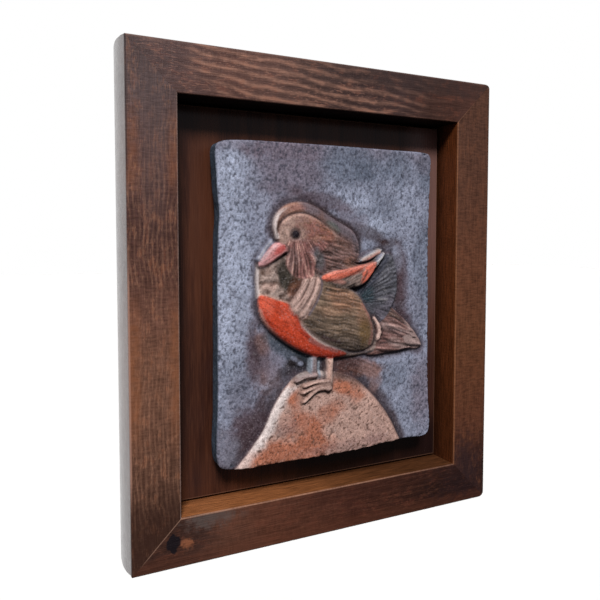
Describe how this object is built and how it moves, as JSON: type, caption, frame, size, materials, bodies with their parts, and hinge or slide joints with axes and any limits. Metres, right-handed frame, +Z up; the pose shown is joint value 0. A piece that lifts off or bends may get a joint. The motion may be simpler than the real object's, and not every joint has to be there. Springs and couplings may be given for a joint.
{
  "type": "wall plaque",
  "caption": "Framed wall plaque: a low-relief tile of a waterfowl on a rock, held proud of the panel of a deep mitred wooden frame that hangs on a wall.",
  "frame": {"origin": "on the wall, at the middle of the back of the top rail, where the frame hangs", "axes": "+Z up, +X to the right seen from the front, +Y into the wall; the front looks along -Y"},
  "size_m": [0.2598, 0.0373, 0.3028],
  "materials": {
    "frame_wood": "dark stained softwood, satin varnish, worn arrises",
    "panel_wood": "dark stained board, semi-gloss",
    "block_wood": "bare wood",
    "tile": "unglazed, porous, painted and rubbed back"
  },
  "bodies": {
    "root": {"top_rail": "frame_wood", "bottom_rail": "frame_wood", "left_stile": "frame_wood", "right_stile": "frame_wood", "back_panel": "panel_wood", "mounting_block": "block_wood", "relief_tile": "tile"}
  },
  "joints": []
}
